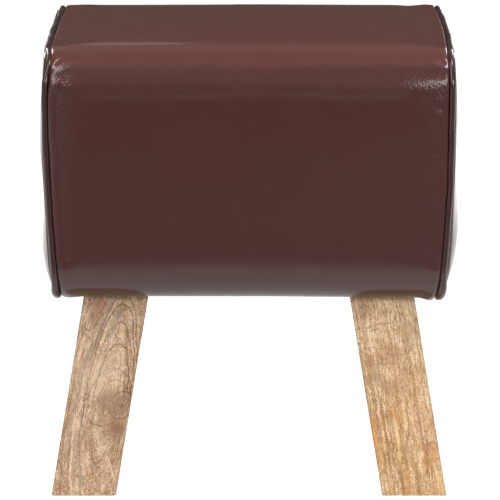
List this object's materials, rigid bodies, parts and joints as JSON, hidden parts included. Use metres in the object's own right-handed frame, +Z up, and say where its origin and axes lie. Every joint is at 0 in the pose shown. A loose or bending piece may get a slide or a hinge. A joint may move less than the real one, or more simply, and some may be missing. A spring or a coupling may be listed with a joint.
{
  "type": "upholstered bench",
  "caption": "Small upholstered bench: a rounded, padded leather block with piped end seams, standing on splayed wooden legs.",
  "frame": {"origin": "on the floor, under the middle of the padded block", "axes": "+Z up, +X along the block from its left end to its right end, -Y towards the front shown in the picture"},
  "size_m": [0.407, 0.3, 0.45],
  "materials": {
    "leather": "glossy dark brown full-grain hide",
    "leg_wood": "satin clear lacquer on pale brown hardwood",
    "plywood": "bare plywood",
    "foam": "open-cell foam",
    "cotton_cord": "twisted cotton",
    "dust_cloth": "black non-woven cloth",
    "zinc_steel": "zinc plated"
  },
  "bodies": {
    "root": {"cover_wrap": "leather", "end_panel_left": "leather", "end_panel_right": "leather", "piping_left": "leather", "piping_right": "leather", "piping_cord_left": "cotton_cord", "piping_cord_right": "cotton_cord", "dust_cover": "dust_cloth", "seat_pad": "foam", "front_pad": "foam", "back_pad": "foam", "end_pad_left": "foam", "end_pad_right": "foam", "base_board": "plywood", "seat_board": "plywood", "front_board": "plywood", "back_board": "plywood", "end_board_left": "plywood", "end_board_right": "plywood", "leg_front_left": "leg_wood", "leg_front_right": "leg_wood", "leg_back_left": "leg_wood", "leg_back_right": "leg_wood", "leg_screw_front_left_1": "zinc_steel", "leg_screw_front_left_2": "zinc_steel", "leg_screw_front_right_1": "zinc_steel", "leg_screw_front_right_2": "zinc_steel", "leg_screw_back_left_1": "zinc_steel", "leg_screw_back_left_2": "zinc_steel", "leg_screw_back_right_1": "zinc_steel", "leg_screw_back_right_2": "zinc_steel", "seat_screw_front_1": "zinc_steel", "seat_screw_front_2": "zinc_steel", "seat_screw_front_3": "zinc_steel", "seat_screw_back_1": "zinc_steel", "seat_screw_back_2": "zinc_steel", "seat_screw_back_3": "zinc_steel", "base_screw_front_1": "zinc_steel", "base_screw_front_2": "zinc_steel", "base_screw_back_1": "zinc_steel", "base_screw_back_2": "zinc_steel", "side_screw_front_left_low": "zinc_steel", "side_screw_front_left_high": "zinc_steel", "side_screw_front_right_low": "zinc_steel", "side_screw_front_right_high": "zinc_steel", "side_screw_back_left_low": "zinc_steel", "side_screw_back_left_high": "zinc_steel", "side_screw_back_right_low": "zinc_steel", "side_screw_back_right_high": "zinc_steel"}
  },
  "joints": []
}
